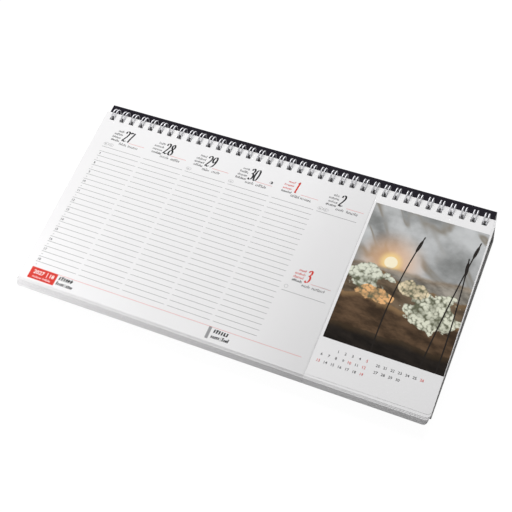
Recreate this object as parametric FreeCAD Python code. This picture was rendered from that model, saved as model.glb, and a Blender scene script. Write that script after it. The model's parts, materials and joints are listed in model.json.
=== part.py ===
"""Desk calendar: a twin-loop bound pad lying on a folded cardboard wedge.

The pad has two sets of leaves side by side on one wire: wide weekly leaves at the left and
narrow monthly picture leaves at the right. Each set turns over the loops by itself.

Frame: millimetres, +X along the binding, +Y from the reader towards the binding, +Z up.
The origin is under the middle of the whole calendar, on the desk.

The pad is drawn in its own flat frame, whose origin is the axis of the wire loops, with
+z square to the leaves. It is then tilted and laid on the wedge.
"""
import FreeCAD, Part
import math
import os

# Leaves
page_width = 320.0      # over both sets of leaves
page_depth = 160.5
block_thickness = 7.0
set_gap = 0.4           # between the weekly and the monthly leaves
week_holes = 27         # punched holes in the weekly leaves; the monthly leaves have the rest
set_web = 0.7           # paper right of the last hole of the weekly leaves
fan_left = 2.2          # how far the lowest leaf lies ahead of the top leaf, at the left corner
fan_right = 4.2         # and at the right corner
fan_sideways = 1.0      # how far the lowest leaf's outer front corner has slipped to the left

# Backing board
board_thickness = 2.0
board_front_setback = 3.3

# Twin-loop wire
hole_pitch = 25.4 / 3.0
wire_diameter = 0.9
pair_spacing = 2.6      # centre to centre of the two wires that share a hole
loop_spare = 1.9        # room inside the loops beyond the thickness of the pad
closure_angle = 24.0    # degrees left open where the loops' tips meet the spine
bar_angle = 9.0         # degrees of the loop taken up by the spine and by each tip
loop_sides = 14         # flat lengths that each loop is drawn with

# Punched holes
hole_clearance_x = 0.25
hole_clearance_y = 0.36
edge_web = 2.35         # paper left between a hole and the bound edge
end_margin = 6.0        # least distance from the middle of an end hole to the side of the pad

# Folded base
base_width = 320.6
base_shift = -0.2       # middle of the base at the desk, from the middle of the pad
base_lean = 2.4         # the base leans this far to the left from the desk to its rear fold
base_depth = 169.6
rear_wall_height = 33.1
front_edge_height = 3.2
base_board = 2.0
fold_radius = 1.0
loop_setback = 15.1     # from the axis of the loops to the rear edge of the base, along its top
rest_gap = 0.05         # paper surfaces lie this close to what carries them

# Sizes that follow from the ones above
stack = block_thickness + board_thickness
loop_inner_radius = (stack + loop_spare) / 2
loop_outer_radius = loop_inner_radius + wire_diameter
# The formed wire is drawn with a square section of the same area as the round wire.
wire_side = wire_diameter * math.sqrt(math.pi) / 2
wire_inset = (wire_diameter - wire_side) / 2
hole_width = pair_spacing + wire_diameter + 2 * hole_clearance_x
wire_reach = math.sqrt(loop_inner_radius ** 2 - (stack / 2) ** 2)
hole_rear = -(wire_reach - hole_clearance_y)
hole_front = -(loop_outer_radius + hole_clearance_y)
bound_edge = hole_rear + edge_web
block_top = stack / 2
block_bottom = block_top - block_thickness
board_bottom = -stack / 2
board_front = bound_edge - page_depth + board_front_setback
hole_count = int((page_width - 2 * end_margin) / hole_pitch) + 1
binding_length = (hole_count - 1) * hole_pitch
week_right = -binding_length / 2 + (week_holes - 1) * hole_pitch + hole_width / 2 + set_web
month_left = week_right + set_gap
wedge_angle = math.atan2(rear_wall_height - front_edge_height, base_depth)


def pad_rock():
    """Angle between the leaves and the base's top, as the pad rests on its loops and front edge."""
    reach = math.hypot(board_front, board_bottom)
    corner = math.atan2(-board_bottom, -board_front)
    return math.asin(loop_outer_radius / reach) - corner


def axis_place():
    """Place of the loops' axis, measured from the base's rear wall at desk height."""
    along = FreeCAD.Vector(0, math.cos(wedge_angle), math.sin(wedge_angle))
    normal = FreeCAD.Vector(0, -math.sin(wedge_angle), math.cos(wedge_angle))
    rear_top = FreeCAD.Vector(0, 0, rear_wall_height)
    return rear_top - along * loop_setback + normal * (loop_outer_radius + rest_gap)


def hole_places():
    """X positions of the punched holes, centred on the leaf."""
    return [i * hole_pitch - binding_length / 2 for i in range(hole_count)]


def punched(sheet, low, high):
    """Cut the row of square holes through a flat piece that spans low to high in z."""
    tools = []
    for x in hole_places():
        corner = FreeCAD.Vector(x - hole_width / 2, hole_front, low - 1)
        tools.append(Part.makeBox(hole_width, hole_rear - hole_front, high - low + 2, corner))
    return sheet.cut(Part.makeCompound(tools))


def section(points):
    """Face in the YZ plane through the points (y, z)."""
    corners = [FreeCAD.Vector(0, y, z) for y, z in points]
    return Part.Face(Part.makePolygon(corners + corners[:1]))


def outline(corners, z):
    """Closed wire through the corners (x, y) at height z."""
    points = [FreeCAD.Vector(x, y, z) for x, y in corners]
    return Part.makePolygon(points + points[:1])


def fan_at(x):
    """How far the lowest leaf's front edge lies ahead of the top leaf's at x."""
    return fan_left + (fan_right - fan_left) * (x / page_width + 0.5)


def make_leaves(left, right, slip_left, slip_right):
    """One set of leaves as one solid from left to right.

    The top leaf is a rectangle. The front edge of the lowest leaf lies further forward, and
    its front corners have slipped to the left by the two slips.
    """
    front = bound_edge - page_depth
    top = [(left, bound_edge), (right, bound_edge), (right, front), (left, front)]
    low = [
        (left, bound_edge),
        (right, bound_edge),
        (right - slip_right, front - fan_at(right)),
        (left - slip_left, front - fan_at(left)),
    ]
    block = Part.makeLoft([outline(low, block_bottom), outline(top, block_top)], True, True)
    return punched(block, block_bottom, block_top)


def make_week_leaves():
    """The weekly leaves, whose right side is plain, so that it passes the monthly leaves."""
    return make_leaves(-page_width / 2, week_right, fan_sideways, 0)


def make_month_leaves():
    """The monthly picture leaves, whose left side is plain."""
    return make_leaves(month_left, page_width / 2, 0, fan_sideways)


def make_backing_board():
    """Flat board, flush with the leaves at the bound edge and a little short of them in front."""
    corner = FreeCAD.Vector(-page_width / 2, board_front, board_bottom)
    board = Part.makeBox(page_width, bound_edge - board_front, board_thickness - rest_gap, corner)
    return punched(board, board_bottom, board_bottom + board_thickness)


def loop_sector(x_low, x_high, start, end, radius_in, radius_out):
    """Solid swept about the loops' axis between two angles, counted from straight down."""
    corners = [(x_low, radius_in), (x_high, radius_in), (x_high, radius_out), (x_low, radius_out)]
    points = [FreeCAD.Vector(x, 0, -r) for x, r in corners]
    face = Part.Face(Part.makePolygon(points + points[:1]))
    axis = FreeCAD.Vector(1, 0, 0)
    face.rotate(FreeCAD.Vector(), axis, start)
    return face.revolve(FreeCAD.Vector(), axis, end - start)


def loop_profile(start, end, radius_in, radius_out):
    """Flat face of one many-sided open loop, seen along its axis."""
    step = (end - start) / loop_sides
    angles = [math.radians(start + i * step) for i in range(loop_sides + 1)]
    out = [(radius_out * math.sin(a), -radius_out * math.cos(a)) for a in angles]
    back = [(radius_in * math.sin(a), -radius_in * math.cos(a)) for a in reversed(angles)]
    return section(out + back)


def make_wire_binding():
    """One formed wire: double loops, joined at one end by the spine and at their tips in pairs."""
    inner = loop_inner_radius + wire_inset
    outer = loop_outer_radius - wire_inset
    start = closure_angle / 2
    end = 360 - closure_angle / 2
    half_pair = pair_spacing / 2
    half_wire = wire_side / 2
    places = hole_places()
    first = places[0] - half_pair - half_wire
    last = places[-1] + half_pair + half_wire
    comb = loop_profile(start, end, inner, outer).extrude(FreeCAD.Vector(last - first, 0, 0))
    comb.translate(FreeCAD.Vector(first, 0, 0))
    gaps = []
    for x in places:
        low, high = x - half_pair + half_wire, x + half_pair - half_wire
        gaps.append(loop_sector(low, high, start - 2, end - bar_angle, inner - 1, outer + 1))
    for left, right in zip(places, places[1:]):
        low, high = left + half_pair + half_wire, right - half_pair - half_wire
        gaps.append(loop_sector(low, high, start + bar_angle, end + 2, inner - 1, outer + 1))
    return comb.cut(Part.makeCompound(gaps))


def make_base_wedge():
    """Board folded into a triangular tube that leans a little to the left, with cut ends."""
    outer = [(-base_depth, 0), (0, 0), (0, rear_wall_height), (-base_depth, front_edge_height)]
    slope = math.tan(wedge_angle)
    top_at_rear = rear_wall_height - base_board / math.cos(wedge_angle)
    rear = -base_board
    apex = -(top_at_rear - base_board) / slope
    hollow = [(apex, base_board), (rear, base_board), (rear, top_at_rear + rear * slope)]
    length = base_width + 2 * base_lean
    run = FreeCAD.Vector(length, 0, 0)
    tube = section(outer).extrude(run)
    folds = [e for e in tube.Edges if e.Length > length - 1]
    tube = tube.makeFillet(fold_radius, folds).cut(section(hollow).extrude(run))
    tube.translate(FreeCAD.Vector(base_shift - length / 2, 0, 0))
    return tube.common(end_trim())


def end_trim():
    """Prism that cuts both ends of the base along its lean."""
    left = base_shift - base_width / 2
    right = base_shift + base_width / 2
    height = rear_wall_height
    corners = [(left, 0), (right, 0), (right - base_lean, height), (left - base_lean, height)]
    points = [FreeCAD.Vector(x, 1, z) for x, z in corners]
    face = Part.Face(Part.makePolygon(points + points[:1]))
    return face.extrude(FreeCAD.Vector(0, -base_depth - 2, 0))


def lay_on_base(shape):
    """Tilt a piece of the pad and put the loops' axis in its place above the base."""
    tilt = wedge_angle + pad_rock()
    shape.rotate(FreeCAD.Vector(), FreeCAD.Vector(1, 0, 0), math.degrees(tilt))
    shape.translate(axis_place())
    return shape


def build():
    """All the pieces in the shared frame, with the origin under the middle of the calendar."""
    pieces = {
        "base_wedge": make_base_wedge(),
        "backing_board": lay_on_base(make_backing_board()),
        "week_leaves": lay_on_base(make_week_leaves()),
        "month_leaves": lay_on_base(make_month_leaves()),
        "wire_binding": lay_on_base(make_wire_binding()),
    }
    whole = Part.makeCompound(list(pieces.values())).BoundBox
    shift = FreeCAD.Vector(-whole.Center.x, -whole.Center.y, 0)
    for shape in pieces.values():
        shape.translate(shift)
    axis = axis_place() + shift
    print("pad middle x %.4f, hinge axis y %.4f z %.4f" % (axis.x, axis.y, axis.z))
    print("pad tilt %.4f degrees" % math.degrees(wedge_angle + pad_rock()))
    return pieces


os.makedirs("parts", exist_ok=True)
for name, shape in build().items():
    print("%s: %d solid, %.1f mm3, valid %s" % (name, len(shape.Solids), shape.Volume, shape.isValid()))
    shape.exportStep("parts/" + name + ".step")
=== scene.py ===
"""Looks of a desk calendar: printed leaves on twin-loop wire over a black folded wedge.

The pieces of the pad are modelled flat, in the pad's own frame: x runs along the binding, y
towards it and z off the leaves, with the origin on the axis of the wire loops. PadFrame then
lays them on the base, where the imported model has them.
"""
import json
import logging
import math
import random
from contextlib import contextmanager
from dataclasses import dataclass, field, replace
from enum import Enum
from typing import Callable, Iterator, Sequence

import bpy
from mathutils import Matrix, Vector


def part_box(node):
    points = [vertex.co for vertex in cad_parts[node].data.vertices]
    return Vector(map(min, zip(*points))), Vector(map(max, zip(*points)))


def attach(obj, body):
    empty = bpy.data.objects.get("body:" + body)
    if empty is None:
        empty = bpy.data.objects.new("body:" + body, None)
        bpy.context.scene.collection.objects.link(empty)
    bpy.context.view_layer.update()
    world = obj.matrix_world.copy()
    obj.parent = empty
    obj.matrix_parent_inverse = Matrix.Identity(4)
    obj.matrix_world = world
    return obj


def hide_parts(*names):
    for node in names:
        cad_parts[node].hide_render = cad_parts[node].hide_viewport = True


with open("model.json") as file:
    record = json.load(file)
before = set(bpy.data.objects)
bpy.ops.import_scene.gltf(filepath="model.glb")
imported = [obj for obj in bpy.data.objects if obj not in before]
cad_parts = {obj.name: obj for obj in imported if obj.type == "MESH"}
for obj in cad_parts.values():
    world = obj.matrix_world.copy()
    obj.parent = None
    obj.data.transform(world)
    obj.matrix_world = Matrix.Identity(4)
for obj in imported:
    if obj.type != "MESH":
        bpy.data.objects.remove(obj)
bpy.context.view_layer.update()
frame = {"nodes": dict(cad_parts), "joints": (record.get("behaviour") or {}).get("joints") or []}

LOG = logging.getLogger("desk_calendar")
MM = 0.001
NEAR = 0.05 * MM    # corners closer than this lie together
Piece = bpy.types.Object
Material = bpy.types.Material
Colour = tuple[float, float, float]
Point = tuple[float, float]


# Modelling helpers


def only(*pieces: Piece) -> None:
    """Select these pieces alone and make the first one active."""
    bpy.ops.object.select_all(action="DESELECT")
    for piece in pieces:
        piece.select_set(True)
    bpy.context.view_layer.objects.active = pieces[0]


@contextmanager
def editing(piece: Piece) -> Iterator[None]:
    """Edit mode on one piece, with nothing selected to begin with."""
    only(piece)
    bpy.ops.object.mode_set(mode="EDIT")
    bpy.ops.mesh.select_all(action="DESELECT")
    yield
    bpy.ops.object.mode_set(mode="OBJECT")


def pick_faces(piece: Piece, wanted: Callable[[Vector], bool]) -> None:
    """Select the faces whose middle passes a test, while in edit mode.

    Args:
        piece: The mesh in edit mode.
        wanted: Says of a face's middle whether it is picked.
    """
    bpy.ops.object.mode_set(mode="OBJECT")
    for part in (piece.data.vertices, piece.data.edges, piece.data.polygons):
        part.foreach_set("select", [False] * len(part))
    for face in piece.data.polygons:
        face.select = wanted(face.center)
    bpy.ops.object.mode_set(mode="EDIT")
    bpy.ops.mesh.select_mode(type="FACE")


def plane(name: str, low: Point, high: Point, z: float = 0.0) -> Piece:
    """Flat rectangle between two corners.

    Args:
        name: The new object's name.
        low: Its lowest x and y.
        high: Its highest x and y.
        z: Its height.

    Returns:
        The rectangle, one face that points up.
    """
    bpy.ops.object.select_all(action="DESELECT")
    middle = ((low[0] + high[0]) / 2, (low[1] + high[1]) / 2, z)
    bpy.ops.mesh.primitive_plane_add(size=1.0, location=middle)
    piece = bpy.context.object
    piece.name = name
    piece.scale = (high[0] - low[0], high[1] - low[1], 1.0)
    bpy.ops.object.transform_apply(location=True, rotation=True, scale=True)
    return piece


def modify(piece: Piece, kind: str, **settings: object) -> None:
    """Add a modifier with these settings to a piece and apply it."""
    only(piece)
    modifier = piece.modifiers.new(kind.lower(), kind)
    for key, value in settings.items():
        setattr(modifier, key, value)
    bpy.ops.object.modifier_apply(modifier=modifier.name)


def repeat(piece: Piece, count: int, step: Sequence[float], **merging: object) -> None:
    """Copy a piece count times along a step, in one mesh."""
    modify(piece, "ARRAY", count=count, use_relative_offset=False, use_constant_offset=True,
           constant_offset_displace=step, **merging)


def thicken(piece: Piece, thickness: float) -> None:
    """Give a flat mesh that faces up a closed body that lies below it."""
    modify(piece, "SOLIDIFY", thickness=thickness, offset=-1.0)


def join(name: str, pieces: Sequence[Piece]) -> Piece:
    """Make one object of several and name it."""
    only(*pieces)
    if len(pieces) > 1:
        bpy.ops.object.join()
    pieces[0].name = name
    pieces[0].data.name = name
    return pieces[0]


def in_scene(name: str, data: bpy.types.ID) -> Piece:
    """Put a mesh, a lamp or a camera in the scene as an object."""
    piece = bpy.data.objects.new(name, data)
    bpy.context.scene.collection.objects.link(piece)
    return piece


def mesh_of(name: str, outlines: Sequence[Sequence[Point]]) -> Piece:
    """Flat mesh of separate faces that point up, at z 0.

    Args:
        name: The new object's name.
        outlines: The corners of each face, counter-clockwise.

    Returns:
        The new object.
    """
    corners = [(*point, 0.0) for outline in outlines for point in outline]
    numbers = iter(range(len(corners)))
    mesh = bpy.data.meshes.new(name)
    mesh.from_pydata(corners, [], [[next(numbers) for _ in outline] for outline in outlines])
    return in_scene(name, mesh)


def paint(piece: Piece, *materials: Material) -> None:
    """Give a piece these materials in place of any it has."""
    piece.data.materials.clear()
    for material in materials:
        piece.data.materials.append(material)


def report(piece: Piece) -> None:
    """Log a finished piece."""
    LOG.info("%s: %d faces", piece.name, len(piece.data.polygons))


class PadFrame:
    """The flat frame of the pad, tilted onto the base."""

    def __init__(self, joint: dict, board: Piece) -> None:
        """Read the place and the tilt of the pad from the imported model.

        Args:
            joint: The hinge of one set of leaves, whose axis is that of the wire loops.
            board: The backing board, whose broad faces have the tilt of the pad.
        """
        normal = max(board.data.polygons, key=lambda face: face.area).normal
        self.tilt = math.atan2(-normal.y / normal.z, 1.0)
        self.matrix = Matrix.Translation(joint["pos_m"]) @ Matrix.Rotation(self.tilt, 4, "X")

    def points(self, node: str) -> list[Vector]:
        """The corners of a node's mesh in the pad's frame."""
        flat = self.matrix.inverted()
        return [flat @ corner.co for corner in frame["nodes"][node].data.vertices]

    def place(self, piece: Piece) -> None:
        """Lay a piece that was modelled flat on the base, in its mesh."""
        piece.data.transform(self.matrix)
        piece.data.update()


# Node materials


def math_node(operation: str) -> Callable[..., "Signal"]:
    """A method that puts a Math node on a signal and its other operands."""
    def method(self: "Signal", *others: "Signal | float") -> "Signal":
        """Add the node, fed with the signal and the other operands."""
        node = self.sheet.add("ShaderNodeMath", operation=operation)
        for slot, value in zip(node.inputs, (self, *others)):
            self.sheet.feed(slot, value)
        return Signal(self.sheet, node.outputs[0])
    return method


class Signal:
    """A value on its way through the nodes of a material, with ordinary arithmetic."""

    __add__ = __radd__ = math_node("ADD")
    __sub__ = math_node("SUBTRACT")
    __mul__ = __rmul__ = math_node("MULTIPLY")
    size = math_node("ABSOLUTE")
    power = math_node("POWER")
    lowest = math_node("MINIMUM")
    highest = math_node("MAXIMUM")

    def __init__(self, sheet: "NodeSheet", socket: bpy.types.NodeSocket) -> None:
        """Wrap an output socket of a sheet of nodes."""
        self.sheet = sheet
        self.socket = socket

    def __rsub__(self, other: float) -> "Signal":
        """Difference from a number."""
        return self * -1.0 + other

    def step(self, start: float, end: float) -> "Signal":
        """Smooth step that is 0 at start and 1 at end, whichever is higher."""
        node = self.sheet.add("ShaderNodeMapRange", interpolation_type="SMOOTHSTEP")
        low, high = min(start, end), max(start, end)
        for slot, value in zip(node.inputs, (self, low, high, 0.0, 1.0)):
            self.sheet.feed(slot, value)
        stepped = Signal(self.sheet, node.outputs[0])
        return stepped if start < end else 1.0 - stepped


class NodeSheet:
    """The nodes of one material, or of the world, around its shader."""

    def __init__(self, name: str, kind: str = "materials", shader: str = "Principled BSDF") -> None:
        """Start a new owner of nodes, with its bare shader."""
        self.owner = getattr(bpy.data, kind).new(name)
        self.owner.use_nodes = True
        self.tree = self.owner.node_tree
        self.shader = self.tree.nodes[shader]

    def add(self, kind: str, **settings: object) -> bpy.types.Node:
        """Add a node and set its properties."""
        node = self.tree.nodes.new(kind)
        for key, value in settings.items():
            setattr(node, key, value)
        return node

    def feed(self, slot: bpy.types.NodeSocket, value: object) -> None:
        """Link a signal to an input, or write a constant on it."""
        if isinstance(value, Signal):
            self.tree.links.new(value.socket, slot)
        elif isinstance(value, tuple) and slot.type == "RGBA":
            slot.default_value = (*value, 1.0)
        else:
            slot.default_value = value

    def fill(self, node: bpy.types.Node, output: str | int = 0, **inputs: object) -> Signal:
        """Feed a node's inputs by name, with underscores for spaces, and read an output."""
        for key, value in inputs.items():
            self.feed(node.inputs[key.replace("_", " ")], value)
        return Signal(self, node.outputs[output])

    def surface(self, **inputs: object) -> Material:
        """Feed the shader's inputs and give back the finished material."""
        self.fill(self.shader, **inputs)
        return self.owner

    def place(self, output: str = "Object", turn: float = 0.0,
              stretch: tuple[float, float, float] = (1, 1, 1)) -> Signal:
        """Coordinates of the surface.

        Args:
            output: The output of the Texture Coordinate node that is read.
            turn: Angle about X that lays the pattern in a tilted plane.
            stretch: How many times finer the pattern runs along each axis.

        Returns:
            The coordinates.
        """
        source = Signal(self, self.add("ShaderNodeTexCoord").outputs[output])
        return self.fill(self.add("ShaderNodeMapping"), Vector=source, Rotation=(turn, 0.0, 0.0),
                         Scale=stretch)

    def axes(self, place: Signal) -> tuple[Signal, Signal, Signal]:
        """The three numbers of a coordinate."""
        node = self.add("ShaderNodeSeparateXYZ")
        self.feed(node.inputs[0], place)
        return tuple(Signal(self, out) for out in node.outputs)

    def vector(self, x: Signal | float, y: Signal | float, z: Signal | float = 0.0) -> Signal:
        """A coordinate made of three numbers."""
        return self.fill(self.add("ShaderNodeCombineXYZ"), X=x, Y=y, Z=z)

    def noise(self, place: Signal, scale: float, detail: float = 2.0, rough: float = 0.5,
              warp: float = 0.0) -> Signal:
        """Cloudy pattern between 0 and 1."""
        return self.fill(self.add("ShaderNodeTexNoise"), "Fac", Vector=place, Scale=scale,
                         Detail=detail, Roughness=rough, Distortion=warp)

    def cells(self, place: Signal, scale: float) -> Signal:
        """Distance to the nearest of many scattered points."""
        return self.fill(self.add("ShaderNodeTexVoronoi"), "Distance", Vector=place, Scale=scale)

    def mix(self, share: Signal, first: Signal | Colour, second: Signal | Colour) -> Signal:
        """A colour that goes from the first to the second with the share."""
        node = self.add("ShaderNodeMix", data_type="RGBA")
        colours = [slot for slot in node.inputs if slot.type == "RGBA"]
        for slot, value in zip((node.inputs[0], *colours), (share, first, second)):
            self.feed(slot, value)
        return Signal(self, next(slot for slot in node.outputs if slot.type == "RGBA"))

    def relief(self, height: Signal, distance: float, strength: float = 1.0) -> None:
        """Feed a height in metres, scaled by distance, to the shader as bump."""
        bump = self.fill(self.add("ShaderNodeBump"), Strength=strength, Distance=distance,
                         Height=height)
        self.feed(self.shader.inputs["Normal"], bump)


def toned(colour: Colour, share: float) -> Colour:
    """A colour with each part multiplied by a share."""
    return tuple(part * share for part in colour)


@dataclass(frozen=True)
class PaperFinish:
    """Smooth white offset paper, which can grey a little towards its right side: painted shade, in
    place of a slight bend of the leaf.
    """

    name: str
    tilt: float
    painted_shade: float = 1.0
    painted_shade_from: float = 8.0 * MM
    painted_shade_to: float = 74.0 * MM
    tone: Colour = (0.79, 0.785, 0.79)
    mottle: float = 0.985
    fibre_height: float = 0.004 * MM

    def material(self) -> Material:
        """Build the paper's nodes."""
        sheet = NodeSheet(self.name)
        place = sheet.place(turn=-self.tilt)
        fibres = sheet.noise(place, 1500.0, detail=3.0, rough=0.65)
        clouds = sheet.noise(place, 60.0, detail=4.0)
        share = (fibres * 0.4 + clouds * 0.6).step(0.3, 0.7)
        colour = sheet.mix(share, toned(self.tone, self.mottle), self.tone)
        # Painted shade: the paper's colour darkens towards the right side of the leaf.
        if self.painted_shade < 1.0:
            shaded_tone = toned(self.tone, self.painted_shade)
            side = sheet.axes(place)[0].step(self.painted_shade_from, self.painted_shade_to)
            colour = sheet.mix(side, colour, sheet.mix(share, toned(shaded_tone, self.mottle), shaded_tone))
        sheet.relief(fibres, self.fibre_height)
        return sheet.surface(Base_Color=colour, Roughness=0.52 + 0.1 * fibres,
                             Specular_IOR_Level=0.15)


@dataclass(frozen=True)
class LeafEdgeFinish:
    """The cut edges at the front of the stacked leaves, with a tone that changes from leaf to leaf.
    Their grey, darker than the paper, is partly the edges' own tone and partly painted shade on the
    front of the stack.
    """

    tilt: float
    leaf_pitch: float = 0.2 * MM
    # Partly painted shade: the front of the stack is greyed in its colour.
    tone: Colour = (0.48, 0.475, 0.48)

    def material(self) -> Material:
        """Build the nodes of the leaf edges."""
        sheet = NodeSheet("leaf_edges")
        x, y, z = sheet.axes(sheet.place(turn=-self.tilt))
        layers = sheet.noise(sheet.vector(x * 6.0, y * 6.0, z * (0.6 / self.leaf_pitch)), 1.0,
                             detail=1.0)
        nicks = sheet.noise(sheet.vector(x * 300.0, y * 300.0, z * 2500.0), 1.0, detail=3.0)
        share = (layers * 0.65 + nicks * 0.35).step(0.32, 0.62)
        colour = sheet.mix(share, toned(self.tone, 0.80), self.tone)
        sheet.relief(nicks, 0.03 * MM, 0.6)
        return sheet.surface(Base_Color=colour, Roughness=0.72, Specular_IOR_Level=0.2)


class Ink(Enum):
    """The printing inks, each with its colour."""

    BLACK = (0.010, 0.010, 0.012)
    DARK_GREY = (0.045, 0.045, 0.048)
    GREY = (0.16, 0.16, 0.165)
    PALE_GREY = (0.30, 0.30, 0.305)
    RED = (0.60, 0.038, 0.026)
    PALE_RED = (0.72, 0.26, 0.25)
    WHITE = (0.86, 0.86, 0.86)


@dataclass(frozen=True)
class InkFinish:
    """Offset ink that sinks into the paper a little unevenly."""

    ink: Ink
    tilt: float
    paper: float = 0.75
    paper_share: float = 0.05

    def material(self) -> Material:
        """Build the ink's nodes, or find them if they were built before."""
        name = "ink_" + self.ink.name.lower()
        if name in bpy.data.materials:
            return bpy.data.materials[name]
        sheet = NodeSheet(name)
        grain = sheet.noise(sheet.place(turn=-self.tilt), 2600.0, rough=0.7)
        thin = tuple(part + (self.paper - part) * self.paper_share for part in self.ink.value)
        colour = sheet.mix(grain.step(0.35, 0.75), self.ink.value, thin)
        return sheet.surface(Base_Color=colour, Roughness=0.45, Specular_IOR_Level=0.05)


@dataclass(frozen=True)
class WireFinish:
    """Bright drawn steel wire."""

    dark: Colour = (0.40, 0.40, 0.42)
    light: Colour = (0.56, 0.56, 0.58)

    def material(self) -> Material:
        """Build the wire's nodes."""
        sheet = NodeSheet("silver_wire")
        streaks = sheet.noise(sheet.place(stretch=(1.0, 0.25, 0.25)), 2400.0, detail=3.0, rough=0.6)
        sheet.relief(streaks, 0.008 * MM, 0.5)
        return sheet.surface(Base_Color=sheet.mix(streaks, self.dark, self.light), Metallic=0.75,
                             Roughness=0.46 + 0.12 * streaks)


@dataclass(frozen=True)
class BoardFinish:
    """Plain grey chipboard, speckled with fibres."""

    tilt: float = 0.0
    tone: Colour = (0.27, 0.265, 0.26)
    roughness: float = 0.85

    def colour(self, sheet: NodeSheet, place: Signal) -> Signal:
        """The colour of recycled grey board at a place, with its relief."""
        fibres = sheet.noise(place, 700.0, detail=5.0, rough=0.7)
        specks = sheet.cells(place, 900.0)
        base = sheet.mix(fibres.step(0.3, 0.7), toned(self.tone, 0.72), toned(self.tone, 1.25))
        sheet.relief(fibres, 0.05 * MM, 0.7)
        return sheet.mix(specks.step(0.16, 0.06) * fibres, base, toned(self.tone, 0.35))

    def material(self) -> Material:
        """Build the board's nodes."""
        sheet = NodeSheet("grey_chipboard")
        colour = self.colour(sheet, sheet.place(turn=-self.tilt))
        return sheet.surface(Base_Color=colour, Roughness=self.roughness, Specular_IOR_Level=0.15)


@dataclass(frozen=True)
class WrapFinish:
    """Black paper wrapped round grey board, which shows at the cut ends and inside."""

    low: Vector
    high: Vector
    front_height: float
    low_middle: float
    half_width: float
    lean: float
    wrap: Colour = (0.0115, 0.0095, 0.0150)
    rubbed: Colour = (0.06, 0.055, 0.06)
    core: BoardFinish = BoardFinish(tone=(0.30, 0.295, 0.29))
    wrap_thickness: float = 0.3 * MM
    inside_depth: float = 1.2 * MM

    def material(self) -> Material:
        """Build the nodes of the wrapped base."""
        sheet = NodeSheet("wrapped_base")
        place = sheet.place()
        x, y, z = sheet.axes(place)
        slope = (self.high.z - self.front_height) / (self.high.y - self.low.y)
        from_front, from_rear = y - self.low.y, self.high.y - y
        from_top = (self.front_height + from_front * slope - z) * (1 / math.hypot(1, slope))
        inward = z.lowest(from_rear).lowest(from_top).lowest(from_front)
        from_end = self.half_width - (x - self.low_middle + z * self.lean).size()
        at_end = from_end.step(0.12 * MM, 0.05 * MM)
        core = inward.step(self.wrap_thickness, self.wrap_thickness + 0.15 * MM)
        lining = inward.step(self.inside_depth, self.inside_depth + 0.2 * MM)
        bare = (at_end * core).highest(lining * from_front.step(3.0 * MM, 4.0 * MM))
        weave = sheet.noise(place, 1300.0, detail=4.0, rough=0.6)
        scuffs = sheet.noise(place, 45.0, detail=6.0, rough=0.65)
        rub = from_top.highest(from_rear).step(0.9 * MM, 0.2 * MM) * scuffs.step(0.45, 0.75)
        black = sheet.mix(weave.step(0.3, 0.8), toned(self.wrap, 0.8), toned(self.wrap, 1.35))
        colour = sheet.mix(bare, sheet.mix(rub * 0.4, black, self.rubbed),
                           self.core.colour(sheet, place))
        sheet.relief(weave, 0.02 * MM, 0.8)
        rough = 0.46 + 0.12 * scuffs + bare * (self.core.roughness - 0.5)
        return sheet.surface(Base_Color=colour, Roughness=rough, Specular_IOR_Level=0.03)


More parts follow.
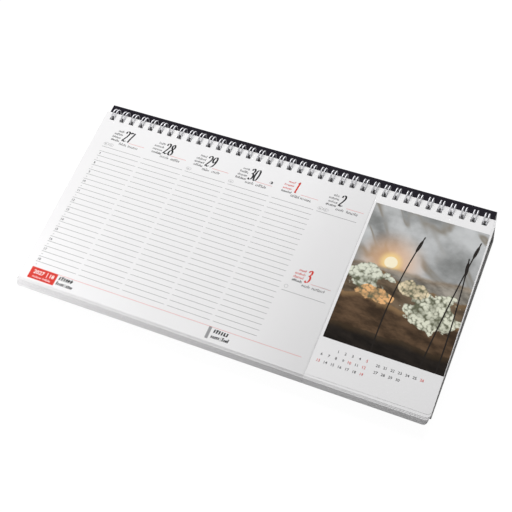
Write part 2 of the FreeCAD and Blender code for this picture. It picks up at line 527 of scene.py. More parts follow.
@dataclass(frozen=True)
class LandscapeFinish:
    """A printed view of hills in morning mist, read from the panel's own UV map.

    Heights and places are shares of the panel: u runs to the right and v to the top.
    """

    aspect: float
    sun: Point = (0.30, 0.615)

    def material(self) -> Material:
        """Build the landscape, from the sky at the back to the dark bank in front."""
        sheet = NodeSheet("printed_landscape")
        u, v, _ = sheet.axes(sheet.place("UV"))
        view = self._sky(sheet, u, v)
        for layer in (self._sunrise, self._hills, self._bushes, self._reeds):
            view = layer(sheet, u, v, view)
        return sheet.surface(Base_Color=view, Roughness=0.35, Specular_IOR_Level=0.06)

    def _sky(self, sheet: NodeSheet, u: Signal, v: Signal) -> Signal:
        """Soft grey sky with slanting folds of cloud, some of them ochre."""
        folds = sheet.noise(sheet.vector(u * 1.6 + v * 1.9, v * 0.9 - u * 0.5), 1.7, rough=0.4,
                            warp=0.5)
        soft = sheet.noise(sheet.vector(u * 1.6, v * 2.6), 1.9, detail=5.0, rough=0.55)
        grey = sheet.mix((folds * 0.5 + soft * 0.5).step(0.36, 0.62), (0.20, 0.205, 0.20),
                         (0.54, 0.55, 0.555))
        dusk = (folds - 0.47).size().step(0.05, 0.0) * soft.step(0.36, 0.58)
        return sheet.mix(dusk * 0.7, grey, (0.17, 0.135, 0.085))

    def _sunrise(self, sheet: NodeSheet, u: Signal, v: Signal, view: Signal) -> Signal:
        """A low cream sun with a warm glow."""
        across, up = u - self.sun[0], (v - self.sun[1]) * self.aspect
        reach = (across * across + up * up).power(0.5)
        for share, colour in ((reach.step(0.34, 0.05) * 0.6, (0.80, 0.42, 0.17)),
                              (reach.step(0.12, 0.05), (0.86, 0.62, 0.28)),
                              (reach.step(0.058, 0.050), (0.92, 0.84, 0.62))):
            view = sheet.mix(share, view, colour)
        return view

    def _hills(self, sheet: NodeSheet, u: Signal, v: Signal, view: Signal) -> Signal:
        """Ridges one before another, each darker, down to the near bank."""
        ridges = (
            (0.585, 0.10, 1.6, 0.014, 0.25, (0.235, 0.215, 0.185)),
            (0.505, 0.13, 2.3, 0.008, 0.35, (0.110, 0.078, 0.050)),
            (0.340, 0.10, 2.9, 0.006, 0.55, (0.080, 0.048, 0.027)),
            (0.125, 0.08, 1.9, 0.006, 0.10, (0.013, 0.010, 0.008)),
        )
        grain = sheet.noise(sheet.vector(u * 2.2 + v * 1.4, v * 6.0), 2.2, detail=6.0, rough=0.6)
        for height, swell, scale, softness, rim, colour in ridges:
            line = sheet.noise(sheet.vector(u * scale, height * 40.0), 1.0, detail=5.0)
            over = height + (line - 0.5) * (2 * swell) - v
            face = sheet.mix(grain.step(0.3, 0.72), toned(colour, 0.45), toned(colour, 1.7))
            lit = sheet.mix(over.step(0.05, 0.004) * rim, face, (0.34, 0.21, 0.10))
            view = sheet.mix(over.step(-softness, softness), view, lit)
        return view

    def _bushes(self, sheet: NodeSheet, u: Signal, v: Signal, view: Signal) -> Signal:
        """Heads of pale blossom that stand before the hills, the left ones in warm light."""
        clumps = (
            ((0.76, 0.37), 0.23, 0.135, (0.74, 0.75, 0.61)),
            ((0.56, 0.475), 0.13, 0.055, (0.78, 0.66, 0.45)),
            ((0.17, 0.475), 0.20, 0.085, (0.70, 0.72, 0.60)),
            ((0.26, 0.375), 0.15, 0.055, (0.80, 0.45, 0.20)),
        )
        place = sheet.vector(u, v * self.aspect)
        ragged = sheet.noise(place, 5.0, detail=5.0, rough=0.6)
        bent = sheet.vector(u + ragged * 0.05, v * self.aspect - ragged * 0.05)
        heads = sheet.cells(bent, 12.0)
        petals = sheet.cells(bent, 38.0)
        shade = sheet.noise(place, 14.0, detail=4.0, rough=0.6)
        for middle, across, up, tone in clumps:
            off_u, off_v = (u - middle[0]) * (1 / across), (v - middle[1]) * (1 / up)
            edge = off_u * off_u + off_v * off_v + (ragged - 0.5) * 3.2 + (heads - 0.4) * 0.9
            bloom = petals.step(1.05, 0.30) * (1.2 - heads) * shade.step(0.12, 0.55)
            petal = sheet.mix(bloom.step(0.0, 0.80), (0.115, 0.12, 0.075), tone)
            view = sheet.mix(edge.step(1.12, 0.96), view, petal)
        return view

    def _reeds(self, sheet: NodeSheet, u: Signal, v: Signal, view: Signal) -> Signal:
        """Dark stems with long heads, which bend out of the near bank."""
        for root, lean, bow, top in ((0.80, 0.10, 0.06, 0.93), (0.93, 0.03, -0.10, 0.80),
                                     (0.40, -0.06, 0.20, 0.86)):
            line = (u - root - lean * v - bow * (v * v)).size()
            stem = line.step(0.007, 0.004) * v.step(top, top - 0.01)
            across, up = line * (1 / 0.014), (v - top + 0.08) * (1 / 0.05)
            head = (across * across + up * up).step(1.15, 0.85)
            view = sheet.mix(stem.highest(head), view, (0.016, 0.013, 0.011))
        return view


# Leaves


@dataclass(frozen=True)
class CornerSteps:
    """How far a leaf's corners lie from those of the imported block's top, in the leaf's plane."""

    rear_left: Point
    rear_right: Point
    front_left: Point
    front_right: Point

    def at(self, across: float, forward: float) -> Vector:
        """The step at a share of the leaf's width and depth."""
        rear = Vector(self.rear_left).lerp(Vector(self.rear_right), across)
        front = Vector(self.front_left).lerp(Vector(self.front_right), across)
        return rear.lerp(front, forward)


@dataclass
class LeafSet:
    """One set of leaves: a fanned stack below, and the printed top leaf."""

    name: str
    node: str
    body: str
    pad: PadFrame
    paper: Material
    edges: Material
    seed: int
    leaf_count: int = 36
    leaf_share: float = 0.80
    top_leaf: float = 0.12 * MM
    ragged: float = 0.22 * MM
    upper_share: float = 0.075
    upper_fan: float = 2.2 * MM
    overhang: float = 1.0 * MM
    lower_fan: tuple[float, float] = (3.4 * MM, 2.1 * MM)
    corner_size: float = 3.2 * MM
    left_swing: float = 0.0
    rear_left: Point = (0.0, 0.0)
    rear_right: Point = (0.0, 0.0)
    top_steps: CornerSteps | None = None

    def __post_init__(self) -> None:
        """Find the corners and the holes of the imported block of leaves."""
        points = self.pad.points(self.node)
        self.low_z, self.high_z = min(p.z for p in points), max(p.z for p in points)
        at_top = [p for p in points if p.z > self.high_z - NEAR]
        rows = sorted({round(p.y, 5) for p in at_top})
        self.front, self.hole_front, self.hole_rear, self.rear = rows
        self.corners = {}
        for level, z in (("low", self.low_z), ("top", self.high_z)):
            at_front = [p for p in points if abs(p.z - z) < NEAR and p.y < self.hole_front * 2]
            self.corners[level + "_left"] = min(at_front, key=lambda p: p.x)
            self.corners[level + "_right"] = max(at_front, key=lambda p: p.x)
        self.left, self.right = self.corners["top_left"].x, self.corners["top_right"].x
        self.width, self.depth = self.right - self.left, self.rear - self.front
        sides = sorted({round(p.x, 5) for p in at_top if abs(p.y - self.hole_rear) < 0.01 * MM})
        self.holes = list(zip(sides[::2], sides[1::2]))

    def sheet(self) -> Piece:
        """A flat leaf with its punched holes and a rounded outer front corner, at z 0."""
        def in_row(middle: Vector) -> bool:
            """Whether a face lies between the front and the rear of the holes."""
            return self.hole_front < middle.y < self.hole_rear

        leaf = plane(self.name, (self.left, self.front), (self.right, self.rear))
        with editing(leaf):
            for y in (self.hole_front, self.hole_rear):
                bpy.ops.mesh.select_all(action="SELECT")
                bpy.ops.mesh.bisect(plane_co=(0, y, 0), plane_no=(0, 1, 0))
            for side in [side for hole in self.holes for side in hole]:
                pick_faces(leaf, in_row)
                bpy.ops.mesh.bisect(plane_co=(side, 0, 0), plane_no=(1, 0, 0))
            pick_faces(leaf, lambda middle: in_row(middle)
                       and any(low < middle.x < high for low, high in self.holes))
            bpy.ops.mesh.delete(type="FACE")
            bpy.ops.mesh.select_all(action="DESELECT")
            bpy.ops.mesh.select_mode(type="VERT")
        front = [corner for corner in leaf.data.vertices if corner.co.y < self.front + NEAR]
        max(front, key=lambda corner: abs(corner.co.x)).select = True
        bpy.ops.object.mode_set(mode="EDIT")
        bpy.ops.mesh.bevel(affect="VERTICES", offset=self.corner_size, segments=3)
        bpy.ops.mesh.select_mode(type="FACE")
        bpy.ops.object.mode_set(mode="OBJECT")
        return leaf

    def fanned(self, share: float) -> CornerSteps:
        """The steps of a leaf's corners.

        The lower leaves fan out evenly. The upper ones overhang them a little and fan out more.

        Args:
            share: The leaf's place in the stack, from 0 at the top to 1 at the bottom.

        Returns:
            The steps of the four corners.
        """
        behind = Vector(self.lower_fan)
        if share < self.upper_share:
            fan = self.upper_fan * (1 - share / self.upper_share) - self.overhang
            behind += Vector((fan, fan))
        else:
            behind *= (1 - share) / (1 - self.upper_share)
        left = self.corners["low_left"] - self.corners["top_left"]
        right = self.corners["low_right"] - self.corners["top_right"]
        inward = self.left_swing * (1 - 0.4 * share)
        return CornerSteps(
            (self.rear_left[0], self.rear_left[1] * (1 - share)),
            (self.rear_right[0], self.rear_right[1] * (1 - share)),
            (left.x * share + inward, left.y + behind[0]),
            (right.x * share, right.y + behind[1]),
        )

    def lay(self, leaf: Piece, steps: CornerSteps, z: float) -> None:
        """Move a leaf's edges by the steps of its corners and lift it; its holes keep their place.

        Args:
            leaf: The leaf.
            steps: The steps of its corners.
            z: The height it is lifted to.
        """
        for corner in leaf.data.vertices:
            across = (corner.co.x - self.left) / self.width
            forward = (self.rear - corner.co.y) / self.depth
            step = steps.at(across, forward)
            at_end = forward < 0.001 or forward > 0.9
            at_side = min(across, 1 - across) < 0.001
            corner.co += Vector((step.x * (at_side or at_end), step.y * at_end, z))

    def build_stack(self) -> None:
        """All the leaves under the top one, as one object of separate thin bodies."""
        chance = random.Random(self.seed)
        pattern = self.sheet()
        top = self.high_z - self.top_leaf
        pitch = (top - self.low_z) / self.leaf_count
        thicken(pattern, pitch * self.leaf_share)
        leaves = []
        for i in range(self.leaf_count):
            leaf = in_scene(self.name, pattern.data.copy())
            share = (i + 0.3) / self.leaf_count
            steps = self.fanned(share)
            uneven = self.ragged * (1 - share ** 4)
            left, right = ((x, y + chance.uniform(0, uneven))
                           for x, y in (steps.front_left, steps.front_right))
            self.lay(leaf, replace(steps, front_left=left, front_right=right), top - i * pitch)
            leaves.append(leaf)
        bpy.data.objects.remove(pattern)
        stack = join(self.name + "_stack", leaves)
        paint(stack, self.paper, self.edges)
        # Painted shade: only the front faces take the darker edge tone; the sides and the holes keep
        # the paper.
        for face in stack.data.polygons:
            face.material_index = face.normal.y < -0.5 and face.center.y < self.front + 5 * MM
        self.finish(stack)
        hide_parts(self.node)

    def build_top(self, steps: CornerSteps) -> None:
        """The top leaf, which carries the print, laid by the steps of its corners."""
        self.top_steps = steps
        leaf = self.sheet()
        thicken(leaf, self.top_leaf * 0.8)
        self.lay(leaf, steps, self.high_z)
        leaf.name = self.name + "_top"
        paint(leaf, self.paper)
        self.finish(leaf)

    def finish(self, piece: Piece) -> None:
        """Lay a piece of this set on the base and let it turn with the set."""
        self.pad.place(piece)
        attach(piece, self.body)
        report(piece)


# Print


class Numerals:
    """Slanting numerals as a broad pen writes them: thick down strokes and thin joins."""

    # The points of each stroke, in hundredths of the height
    STROKES = {
        "0": [[(27, 100), (10, 88), (3, 45), (9, 8), (21, 0), (36, 12), (44, 55), (40, 92),
               (27, 100)]],
        "1": [[(10, 84), (20, 90), (29, 100)], [(29, 100), (26, 60), (22, 3)],
              [(12, 2), (22, 3), (33, 2)]],
        "2": [[(6, 78), (10, 93), (24, 100), (39, 93), (42, 74), (30, 46), (12, 18), (0, 2)],
              [(0, 2), (16, 6), (30, 2), (44, 10)]],
        "3": [[(6, 82), (18, 99), (35, 95), (38, 76), (28, 60), (16, 55)],
              [(16, 55), (34, 52), (43, 34), (36, 8), (18, -1), (2, 8)]],
        "7": [[(4, 84), (8, 97), (26, 94), (47, 98)], [(47, 98), (36, 66), (24, 30), (18, 0)]],
        "8": [[(40, 86), (27, 100), (12, 88), (14, 70), (30, 50), (43, 28), (37, 6), (20, 0),
               (5, 10), (6, 32), (24, 52), (38, 66), (40, 86)]],
        "9": [[(43, 76), (38, 95), (24, 100), (9, 86), (6, 62), (17, 48), (33, 54), (43, 76)],
              [(43, 76), (40, 44), (26, 14), (6, 0)]],
    }
    NIB_ANGLE = math.radians(18)
    NIB_WIDTH = 0.150
    NIB_EDGE = 0.036
    NARROW = 0.74
    SLANT = 0.06
    ADVANCE = 0.41
    STEPS = 6

    @classmethod
    def smooth(cls, points: Sequence[Point]) -> list[Vector]:
        """A rounded line through the points.

        Args:
            points: The points of one stroke; a stroke that ends where it starts is closed.

        Returns:
            Evenly many points between each two given ones, as shares of the height.
        """
        knots = [Vector(point) / 100 for point in points]
        closed = points[0] == points[-1]
        before = knots[-2] if closed else knots[0] * 2 - knots[1]
        after = knots[1] if closed else knots[-1] * 2 - knots[-2]
        run = [before, *knots, after]
        line = []
        for a, b, c, d in zip(run, run[1:], run[2:], run[3:]):
            for k in range(cls.STEPS):
                t = k / cls.STEPS
                line.append(0.5 * (2 * b + (c - a) * t + (2 * a - 5 * b + 4 * c - d) * t**2
                                   + (3 * b - a - 3 * c + d) * t**3))
        return line + [knots[-1]]

    @classmethod
    def faces(cls, text: str, corner: Point, height: float) -> list[list[Point]]:
        """The faces of a number.

        Args:
            text: The numerals to write.
            corner: The lower left corner of the first one.
            height: Their height.

        Returns:
            The outline of each small face, counter-clockwise.
        """
        def placed(point: Vector, index: int) -> Point:
            """Slant a point of a numeral and bring it to its place in the number."""
            x = cls.NARROW * point.x + cls.SLANT * point.y + cls.ADVANCE * index
            return corner[0] + x * height, corner[1] + point.y * height

        faces = []
        for i, stroke in [(i, stroke) for i, key in enumerate(text) for stroke in cls.STROKES[key]]:
            line = cls.smooth(stroke)
            sides = []
            for k, point in enumerate(line):
                run = line[min(k + 1, len(line) - 1)] - line[max(k - 1, 0)]
                angle = math.atan2(run.y, run.x)
                half = (cls.NIB_WIDTH * abs(math.sin(angle - cls.NIB_ANGLE)) + cls.NIB_EDGE) / 2
                off = Vector((-math.sin(angle), math.cos(angle))) * half
                sides.append((point + off, point - off))
            for (a, b), (c, d) in zip(sides, sides[1:]):
                faces.append([placed(p, i) for p in (a, b, d, c)])
        return faces


@dataclass
class Printer:
    """Lays ink on a top leaf. Places are in millimetres from the leaf's rear left corner."""

    TYPE_SIZE = 1.35    # size of the type for a numeral of height 1
    BOLD = 0.018        # how far its outline is moved outwards
    LEAN = 0.12         # sideways run of a word's strokes for their height
    leaves: LeafSet
    turn: float = 0.0
    pivot: Point = (0.0, 0.0)
    proud: float = 0.02
    body: float = 0.035
    parts: dict[Ink, list[Piece]] = field(default_factory=dict)

    def keep(self, piece: Piece, ink: Ink) -> Piece:
        """Store a flat piece under its ink."""
        self.parts.setdefault(ink, []).append(piece)
        return piece

    def bar(self, ink: Ink, low: Point, high: Point, count: int = 1, step: Point = (0, 0)) -> Piece:
        """A printed rectangle, repeated along a step."""
        piece = plane("bar", low, high)
        if count > 1:
            repeat(piece, count, (*step, 0))
        return self.keep(piece, ink)

    def faces(self, ink: Ink, outlines: Sequence[Sequence[Point]]) -> None:
        """Printed faces of any outline."""
        self.keep(mesh_of("faces", outlines), ink)

    def number(self, ink: Ink, text: str, place: Point, size: float) -> None:
        """A plain upright number.

        Args:
            ink: Its ink.
            text: The number.
            place: The middle of its base line.
            size: Its height.
        """
        bpy.ops.object.select_all(action="DESELECT")
        bpy.ops.object.text_add(location=(0, 0, 0))
        text_data = bpy.context.object.data
        text_data.body = text
        text_data.size = size * self.TYPE_SIZE
        text_data.align_x = "CENTER"
        text_data.offset = size * self.BOLD
        text_data.resolution_u = 2
        bpy.ops.object.convert(target="MESH")
        bpy.context.object.data.transform(Matrix.Translation((*place, 0.0)))
        self.keep(bpy.context.object, ink)

    def word(self, ink: Ink, start: Point, length: float, height: float, seed: int,
             weight: float) -> None:
        """A word that can't be read: a row of small slanting strokes, some with a cross stroke.

        Args:
            ink: Its ink.
            start: Its lower left corner.
            length: Its length.
            height: The height of its tall strokes.
            seed: Picks which strokes are tall and which are crossed.
            weight: The width of a stroke as a share of the height.
        """
        chance = random.Random(seed)
        outlines = []
        x, y = start
        while x < start[0] + length - height * 0.3:
            tall = height * chance.choice((0.66, 0.66, 0.72, 1.0))
            lean, wide = tall * self.LEAN, height * weight
            outlines.append([(x, y), (x + wide, y), (x + wide + lean, y + tall),
                             (x + lean, y + tall)])
            if chance.random() < 0.6:
                low = y + tall * chance.choice((0.0, 0.42, 0.78))
                end, high = x + height * 0.45, low + wide * 0.7
                outlines.append([(x, low), (end, low), (end, high), (x, high)])
            x += height * chance.uniform(0.40, 0.52)
        self.faces(ink, outlines)

    def ring(self, ink: Ink, middle: Point, across: float, up: float, line: float) -> None:
        """An outlined ellipse."""
        corners = 20
        outlines = []
        for k in range(corners):
            a, b = (2 * math.pi * (k + j) / corners for j in (0, 1))
            outlines.append([
                (middle[0] + (across - w) * math.cos(t), middle[1] + (up - w) * math.sin(t))
                for t, w in ((a, line), (a, 0.0), (b, 0.0), (b, line))])
        self.faces(ink, outlines)

    def press(self, piece: Piece, lift: float, ink: Material) -> None:
        """Give a flat print its thin body and its ink, and lay it on the leaf, turned and lifted."""
        thicken(piece, self.body)
        corner = Vector((self.leaves.left, self.leaves.rear, self.leaves.high_z))
        pivot = Vector((*self.pivot, 0.0))
        piece.data.transform(
            Matrix.Translation(corner) @ Matrix.Scale(MM, 4)
            @ Matrix.Translation(pivot + Vector((0.0, 0.0, lift)))
            @ Matrix.Rotation(self.turn, 4, "Z") @ Matrix.Translation(-pivot))
        paint(piece, ink)
        self.leaves.finish(piece)

    def finish(self) -> None:
        """Press all that was printed, one piece for each ink, with white over the others."""
        for ink, pieces in self.parts.items():
            piece = join(f"{self.leaves.name}_print_{ink.name.lower()}", pieces)
            lift = self.proud * (2 if ink is Ink.WHITE else 1)
            self.press(piece, lift, InkFinish(ink, self.leaves.pad.tilt).material())


@dataclass
class WeekPrint(Printer):
    """The weekly page: a ruled table of five days, the weekend beside it, and a foot line."""

    turn: float = math.radians(-0.64)
    left: float = 11.5
    top: float = -31.7
    column_pitch: float = 36.24
    column_width: float = 33.95
    line_pitch: float = 4.60
    line_count: int = 25
    line_width: float = 0.25
    digit_height: float = 9.9
    first_hour: int = 7
    hour_count: int = 12

    def __post_init__(self) -> None:
        """Turn the page about the rear left corner of its table."""
        self.pivot = (self.left, self.top)

    def build(self) -> None:
        """Print the whole page."""
        self.table()
        self.hours()
        for column, day in enumerate(("27", "28", "29", "30", "1", "2")):
            x = self.left + column * self.column_pitch + (12.5 if len(day) > 1 else 13.6)
            ink = Ink.RED if day == "1" else Ink.BLACK
            self.day_head(day, 10 * column + 7, (x, self.top + 9.3), ink)
        self.badges()
        self.moon()
        self.sunday()
        self.foot()
        self.finish()

    def table(self) -> None:
        """The ruled lines of the five working days, and the one line of the sixth."""
        low = self.top - self.line_width
        lines = self.bar(Ink.GREY, (self.left, low), (self.left + self.column_width, self.top),
                         self.line_count, (0, -self.line_pitch))
        repeat(lines, 5, (self.column_pitch, 0, 0))
        saturday = self.left + 5 * self.column_pitch
        self.bar(Ink.GREY, (saturday, low), (saturday + self.column_width * 0.93, self.top))

    def hours(self) -> None:
        """The hours down the left side, with a short mark between each two."""
        for i in range(self.hour_count):
            y = self.top - (1.75 + 2 * i) * self.line_pitch
            self.number(Ink.DARK_GREY, str(self.first_hour + i), (self.left + 1.6, y), 2.0)
            self.bar(Ink.GREY, (self.left + 1.1, y - 3.9), (self.left + 2.1, y - 3.6))

    def day_head(self, day: str, seed: int, corner: Point, ink: Ink) -> None:
        """A day's number, with four small words at its left, and names and a rule below it.

        Args:
            day: The day's number.
            seed: Picks the words.
            corner: The lower left corner of the number.
            ink: The number's ink.
        """
        chance = random.Random(seed)
        x, y = corner
        self.faces(ink, Numerals.faces(day, corner, self.digit_height))
        usual = Ink.DARK_GREY if ink is Ink.BLACK else ink
        for k, (length, tint, weight) in enumerate((
                (5.5, usual, 0.20), (7.8, usual, 0.20), (7.9, usual, 0.20), (8.3, Ink.BLACK, 0.23))):
            length += chance.uniform(-0.6, 0.5)
            self.word(tint, (x - 0.8 - length, y + 7.35 - 3.05 * k), length, 1.95, seed + k, weight)
        names = chance.uniform(14.5, 18.5)
        first = names * chance.uniform(0.35, 0.5)
        self.word(Ink.DARK_GREY, (x - 0.5, y - 4.1), first, 2.3, seed + 5, 0.17)
        self.word(Ink.DARK_GREY, (x + first + 0.6, y - 4.1), names - first - 1.1, 2.3, seed + 6, 0.17)
        self.bar(Ink.PALE_RED, (x + 6.8, y - 0.5), (x + 20.6, y - 0.2))

    def badges(self) -> None:
        """Small outlined badges over the ruled lines, each with a short word."""
        for column, places in ((0, (2.3, 6.6)), (2, (2.0,)), (3, (1.6,)), (5, (2.2, 6.4))):
            for k, place in enumerate(places):
                x, y = self.left + column * self.column_pitch + place, self.top + 2.9
                self.ring(Ink.GREY, (x, y), 2.1, 1.3, 0.16)
                self.word(Ink.GREY, (x - 0.9, y - 0.55), 1.7, 1.1, 81 + 7 * column + k, 0.2)

    def moon(self) -> None:
        """A small disc, half dark, beside the fourth day."""
        x, y = self.left + 3 * self.column_pitch + 31.4, self.top + 11.8
        angles = [math.radians(-90 + 15 * k) for k in range(13)]
        self.ring(Ink.BLACK, (x, y), 1.3, 1.3, 0.18)
        self.faces(Ink.BLACK, [[(x + 1.2 * math.cos(a), y + 1.2 * math.sin(a)) for a in angles]])

    def sunday(self) -> None:
        """The Sunday block in the lower part of the last column."""
        x, y = self.left + 5 * self.column_pitch, self.top - 59.2
        self.day_head("3", 510, (x + 13.2, y), Ink.RED)
        self.bar(Ink.PALE_RED, (x + 18.6, y - 0.5), (x + 33.4, y - 0.2))
        self.ring(Ink.GREY, (x + 2.3, y - 7.4), 1.5, 1.4, 0.16)
        self.bar(Ink.GREY, (x, y - 11.2), (x + 33.6, y - 11.2 + self.line_width))

    def foot(self) -> None:
        """The red panel with the year and the week, two month labels and the long red line."""
        x, y = self.left + 0.1, self.top - 115.4
        wide, deep, end = 21.9, 9.6, x + 214.0
        self.bar(Ink.RED, (x, y - deep), (x + wide, y))
        self.faces(Ink.PALE_RED, [[(x + wide, y - 0.2), (end, y + 0.55), (end, y + 0.85),
                                   (x + wide, y + 0.1)]])
        for text, start in (("2027", 7.2), ("18", 17.8)):
            self.number(Ink.WHITE, text, (x + start, y - 5.0), 3.2)
        self.bar(Ink.WHITE, (x + 13.9, y - 5.6), (x + 14.3, y - 1.4))
        for k, (start, length) in enumerate(((3.6, 7.6), (12.0, 7.0))):
            self.word(Ink.WHITE, (x + start, y - 8.1), length, 1.6, 111 + k, 0.16)
        for k, start in enumerate((23.6, 148.7)):
            label, high = x + start, y + 0.5 + 0.4 * k
            for seed, shift, drop, length, height, weight in (
                    (101, 0.0, 4.4, 12.0, 4.2, 0.26), (103, -0.4, 8.6, 6.4, 2.9, 0.30),
                    (105, 8.0, 8.6, 5.6, 2.9, 0.30)):
                self.word(Ink.BLACK, (label + shift, high - drop), length, height, seed + k, weight)
            self.bar(Ink.BLACK, (label + 7.0, high - 9.0), (label + 7.3, high - 5.9))
        self.bar(Ink.PALE_GREY, (x + 144.3, y - 9.0), (x + 146.6, y + 0.4))


@dataclass
class MonthPrint(Printer):
    """The picture leaf: a printed landscape and the month's days in a small table."""

    picture_left: float = 1.7
    picture_top: float = -12.7
    picture_bottom: float = -129.4
    day_pitch: float = 5.2
    row_pitch: float = 5.25
    digit_size: float = 2.15
    digit_step: float = 0.8
    red_days: tuple[int, ...] = (5, 10, 12, 13, 19, 26)
    slit_left: float = -0.33
    slit_size: Point = (0.13, 1.0)
    slit_pitch: float = 1.4

    def build(self) -> None:
        """Print the picture, the days and the row of tear slits along the left side."""
        self.picture()
        self.days()
        wide, deep = self.slit_size
        count = int(self.leaves.depth / MM / self.slit_pitch) - 2
        self.bar(Ink.PALE_GREY, (self.slit_left, -2.0 * deep), (self.slit_left + wide, -deep),
                 count, (0.0, -self.slit_pitch))
        self.finish()

    def picture(self) -> None:
        """The printed picture, which runs off the right side of the leaf."""
        right, depth = self.leaves.width / MM, self.leaves.depth / MM
        left, top, bottom = self.picture_left, self.picture_top, self.picture_bottom
        slant = self.leaves.top_steps.rear_right[0] / MM

        def side(y: float) -> float:
            """The leaf's right side at y, a little inside its cut edge."""
            return right - 0.05 + slant * (1 + y / depth)

        near, far = bottom + 0.5, bottom - 0.45
        panel = mesh_of("month_picture", [[(left + 0.25, near), (side(far), far), (side(top), top),
                                           (left, top)]])
        width, height = right - left, top - bottom
        uv = panel.data.uv_layers.new(name="UVMap")
        for loop in panel.data.loops:
            corner = panel.data.vertices[loop.vertex_index].co
            uv.data[loop.index].uv = ((corner.x - left) / width, (corner.y - bottom) / height)
        self.press(panel, self.proud * 0.5, LandscapeFinish(height / width).material())

    def days(self) -> None:
        """The numbers 1 to 30 in weeks of seven, in two blocks side by side."""
        blocks = (((5.0, -137.4), ((2, 1, 5), (0, 6, 12), (0, 13, 19))),
                  ((45.0, -138.3), ((0, 20, 26), (0, 27, 30))))
        for (left, top), rows in blocks:
            for row, (column, first, last) in enumerate(rows):
                for day in range(first, last + 1):
                    x = left + (column + day - first) * self.day_pitch
                    x += self.digit_step * (day < 10)
                    ink = Ink.RED if day in self.red_days else Ink.DARK_GREY
                    self.number(ink, str(day), (x, top - row * self.row_pitch), self.digit_size)


# Wire


@dataclass
class TwinLoopWire:
    """One wire bent into a comb and closed round the pad, one pair of loops to each hole."""

    pad: PadFrame
    places: list[float]
    diameter: float = 0.9 * MM
    pair_spacing: float = 2.6 * MM
    bend_radius: float = 0.85 * MM
    closure_angle: float = math.radians(20)
    arc_steps: int = 26
    ring_corners: int = 8
    bend_steps: int = 4

    def __post_init__(self) -> None:
        """Find the loops' radius and the distance from hole to hole."""
        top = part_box("wire_binding")[1].z
        self.radius = top - self.pad.matrix.translation.z - self.diameter / 2
        self.pitch = (self.places[-1] - self.places[0]) / (len(self.places) - 1)

    def run(self, length: float) -> None:
        """Lengthen the selected end of the wire along x."""
        bpy.ops.mesh.extrude_region_move(TRANSFORM_OT_translate={"value": (length, 0, 0)})

    def bend(self, centre: Vector, axis: Vector, angle: float) -> None:
        """Turn the selected end of the wire round a small bend, right-handed about an axis."""
        bpy.ops.mesh.spin(steps=self.bend_steps, angle=-angle, center=centre, axis=axis)

    def arc(self, angle: float) -> None:
        """Carry the selected end of the wire round the pad. Spin counts the other way round."""
        bpy.ops.mesh.spin(steps=self.arc_steps, angle=-angle, center=(0, 0, 0), axis=(1, 0, 0))

    def period(self) -> Piece:
        """The wire of one hole: half a spine bar, up to the tips, back, and half a bar."""
        half_pair, half_pitch = self.pair_spacing / 2, self.pitch / 2
        start, turn = self.closure_angle / 2, 2 * math.pi - self.closure_angle
        bend, quarter = self.bend_radius, math.pi / 2
        low, tip = (Vector((0, math.sin(angle), -math.cos(angle))) for angle in (start, start + turn))
        onward = Vector((0, math.cos(start), math.sin(start)))

        def beside(outward: Vector, x: float) -> Vector:
            """The point of the loops' circle in an outward direction, at x."""
            return outward * self.radius + Vector((x, 0, 0))

        bpy.ops.object.select_all(action="DESELECT")
        bpy.ops.mesh.primitive_circle_add(
            vertices=self.ring_corners, radius=self.diameter / 2, rotation=(0, quarter, 0),
            location=beside(low, -half_pitch) - onward * bend)
        piece = bpy.context.object
        bpy.ops.object.transform_apply(location=True, rotation=True, scale=True)
        bpy.ops.object.mode_set(mode="EDIT")
        bpy.ops.mesh.select_all(action="SELECT")
        self.run(half_pitch - half_pair - bend)
        self.bend(beside(low, -half_pair - bend), low, -quarter)
        self.arc(turn)
        self.bend(beside(tip, bend - half_pair), tip, quarter)
        self.run(self.pair_spacing - 2 * bend)
        self.bend(beside(tip, half_pair - bend), tip, quarter)
        self.arc(-turn)
        self.bend(beside(low, half_pair + bend), low, -quarter)
        self.run(half_pitch - half_pair - bend)
        bpy.ops.object.mode_set(mode="OBJECT")
        return piece

    def build(self) -> None:
        """The whole wire, one period for each hole, closed at its two cut ends."""
        piece = self.period()
        piece.data.transform(Matrix.Translation((self.places[0], 0, 0)))
        repeat(piece, len(self.places), (self.pitch, 0, 0), use_merge_vertices=True,
               merge_threshold=0.01 * MM)
        with editing(piece):
            bpy.ops.mesh.select_all(action="SELECT")
            bpy.ops.mesh.remove_doubles(threshold=0.005 * MM)
            bpy.ops.mesh.select_mode(type="EDGE")
            bpy.ops.mesh.select_all(action="DESELECT")
            bpy.ops.mesh.select_non_manifold()
            bpy.ops.mesh.edge_face_add()
            bpy.ops.mesh.select_all(action="SELECT")
            bpy.ops.mesh.normals_make_consistent(inside=False)
        piece.name = piece.data.name = "silver_twin_loops"
        only(piece)
        bpy.ops.object.shade_smooth_by_angle(angle=math.radians(50))
        paint(piece, WireFinish().material())
        self.pad.place(piece)
        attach(piece, "stand")
        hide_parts("wire_binding")
        report(piece)


# Studio


@dataclass(frozen=True)
class Viewpoint:
    """The camera: where it looks, from which side, how far away and through which lens."""

    target: tuple[float, float, float] = (0.00418, -0.00742, 0.0200)
    azimuth: float = math.radians(23.64)
    elevation: float = math.radians(50.55)
    distance: float = 0.7619
    roll: float = math.radians(-1.51)
    lens: float = 72.58

    def build(self) -> None:
        """Add the camera and make it the scene's."""
        level = math.cos(self.elevation)
        back = Vector((math.sin(self.azimuth) * level, -math.cos(self.azimuth) * level,
                       math.sin(self.elevation)))
        data = bpy.data.cameras.new("camera")
        data.lens = self.lens
        camera = in_scene("camera", data)
        camera.matrix_world = (Matrix.Translation(Vector(self.target) + back * self.distance)
                               @ (-back).to_track_quat("-Z", "Y").to_matrix().to_4x4()
                               @ Matrix.Rotation(self.roll, 4, "Z"))
        bpy.context.scene.camera = camera


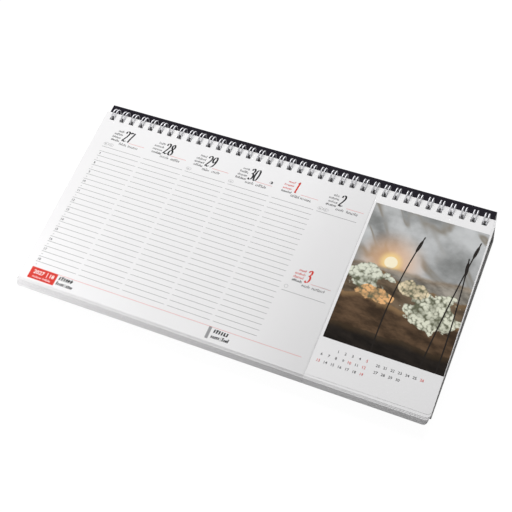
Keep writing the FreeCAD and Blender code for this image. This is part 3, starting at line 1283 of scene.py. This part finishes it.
@dataclass(frozen=True)
class SoftBox:
    """A square studio lamp that points at the calendar."""

    name: str
    place: tuple[float, float, float]
    aim: tuple[float, float, float]
    width: float
    power: float

    def build(self) -> None:
        """Add the lamp."""
        data = bpy.data.lights.new(self.name, "AREA")
        data.size = self.width
        data.energy = self.power
        lamp = in_scene(self.name, data)
        lamp.location = self.place
        ray = Vector(self.aim) - Vector(self.place)
        lamp.rotation_euler = ray.to_track_quat("-Z", "Y").to_euler()


class Studio:
    """White floor and surroundings with soft lamps."""

    FLOOR_SIZE = 6.0
    FLOOR_DROP = 0.02 * MM
    FLOOR_TONE = (0.82, 0.82, 0.82)
    SHADOW_SHARE = 0.10
    FLOOR_GLOW = 1.06
    AMBIENT = 0.30
    LAMPS = (
        SoftBox("rear", (0.0, 0.9, 0.8), (0.0, 0.0, 0.0), 0.6, 12.5),
        SoftBox("rear_left", (-0.45, 0.85, 0.8), (0.0, 0.0, 0.0), 0.6, 5.6),
        SoftBox("low_left", (-0.42, -0.28, 0.09), (-0.10, -0.08, 0.01), 0.14, 0.85),
        SoftBox("low_near", (-0.30, -0.26, 0.035), (-0.14, -0.08, 0.01), 0.06, 0.42),
        SoftBox("low_front", (-0.20, -0.40, 0.04), (-0.06, -0.08, 0.01), 0.06, 0.38),
        SoftBox("low_right", (0.50, 0.02, 0.06), (0.16, 0.0, 0.02), 0.12, 0.25),
    )

    def seen_directly(self, sheet: NodeSheet) -> Signal:
        """1 for rays from the camera, from gloss and through glass."""
        path = sheet.add("ShaderNodeLightPath")
        camera, gloss, glass = (Signal(sheet, path.outputs[f"Is {kind} Ray"])
                                for kind in ("Camera", "Glossy", "Transmission"))
        return camera.highest(gloss).highest(glass)

    def floor(self) -> None:
        """A floor that shows white and still takes the calendar's soft shadow."""
        half = self.FLOOR_SIZE / 2
        floor = plane("floor", (-half, -half), (half, half), -self.FLOOR_DROP)
        sheet = NodeSheet("white_floor")
        painted = sheet.fill(sheet.shader, Base_Color=self.FLOOR_TONE, Roughness=0.9,
                             Specular_IOR_Level=0.0)
        glow = sheet.fill(sheet.add("ShaderNodeEmission"), Strength=self.FLOOR_GLOW)
        share = self.seen_directly(sheet) * (1.0 - self.SHADOW_SHARE)
        mix = sheet.add("ShaderNodeMixShader")
        for slot, value in zip(mix.inputs, (share, painted, glow)):
            sheet.feed(slot, value)
        sheet.feed(sheet.tree.nodes["Material Output"].inputs["Surface"],
                   Signal(sheet, mix.outputs[0]))
        paint(floor, sheet.owner)

    def world(self) -> None:
        """Surroundings that show white and light the scene gently."""
        sheet = NodeSheet("studio", "worlds", "Background")
        strength = self.seen_directly(sheet) * (1.0 - self.AMBIENT) + self.AMBIENT
        bpy.context.scene.world = sheet.surface(Color=(1.0, 1.0, 1.0), Strength=strength)

    def build(self) -> None:
        """Add the floor, the surroundings and the lamps."""
        self.floor()
        self.world()
        for lamp in self.LAMPS:
            lamp.build()
        bpy.context.scene.view_settings.view_transform = "Standard"


@dataclass
class DeskCalendar:
    """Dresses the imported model: leaves, print, wire, board and base."""

    front_edge_height: float = 3.2 * MM
    seam: float = 0.03 * MM    # between the two top leaves

    def __post_init__(self) -> None:
        """Read the pad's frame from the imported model."""
        joint = next(j for j in frame["joints"] if j["name"] == "week_turn")
        self.pad = PadFrame(joint, frame["nodes"]["backing_board"])

    def build(self) -> None:
        """Build and dress every piece."""
        tilt = self.pad.tilt
        edges = LeafEdgeFinish(tilt).material()
        # The week paper's 0.90 is painted shade towards the right side of its leaf.
        week = LeafSet("week_leaf", "week_leaves", "week_set", self.pad,
                       PaperFinish("week_paper", tilt, 0.90).material(), edges, seed=3,
                       left_swing=3.4 * MM, rear_left=(0.65 * MM, 0.66 * MM),
                       rear_right=(0.0, 0.62 * MM))
        month = LeafSet("month_leaf", "month_leaves", "month_set", self.pad,
                        PaperFinish("month_paper", tilt).material(), edges, seed=8,
                        lower_fan=(2.1 * MM, 1.88 * MM), left_swing=-0.33 * MM,
                        rear_left=(-0.33 * MM, 0.62 * MM), rear_right=(0.0, 0.45 * MM))
        for leaves in (week, month):
            leaves.build_stack()
        upper = week.fanned(0.0)
        week.build_top(replace(upper, rear_right=(-0.02 * MM, upper.rear_right[1]),
                               front_right=(-0.6 * MM, upper.front_right[1])))
        inner = week.right + self.seam - month.left
        month.build_top(CornerSteps(
            rear_left=(inner, month.rear_left[1]), rear_right=(-1.3 * MM, month.rear_right[1]),
            front_left=(inner, 1.35 * MM), front_right=(0.0, 1.25 * MM)))
        WeekPrint(week).build()
        MonthPrint(month).build()
        TwinLoopWire(self.pad, [(low + high) / 2 for low, high in week.holes + month.holes]).build()
        self.dress_stand()

    def dress_stand(self) -> None:
        """Give the base and the backing board their finishes."""
        base = frame["nodes"]["base_wedge"]
        low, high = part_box("base_wedge")
        corners = [corner.co for corner in base.data.vertices]
        at_desk = [p.x for p in corners if p.z < 0.01 * MM]
        left, right = min(at_desk), max(at_desk)
        upper = max((p for p in corners if p.z > high.z - 1.5 * MM), key=lambda p: p.x)
        paint(base, WrapFinish(low, high, self.front_edge_height, (right + left) / 2,
                               (right - left) / 2, (right - upper.x) / upper.z).material())
        paint(frame["nodes"]["backing_board"], BoardFinish(self.pad.tilt).material())


def main() -> None:
    """Build the calendar, then the studio and the camera."""
    logging.basicConfig(level=logging.INFO, format="%(name)s %(message)s")
    DeskCalendar().build()
    Studio().build()
    Viewpoint().build()


if __name__ == "__main__":
    main()
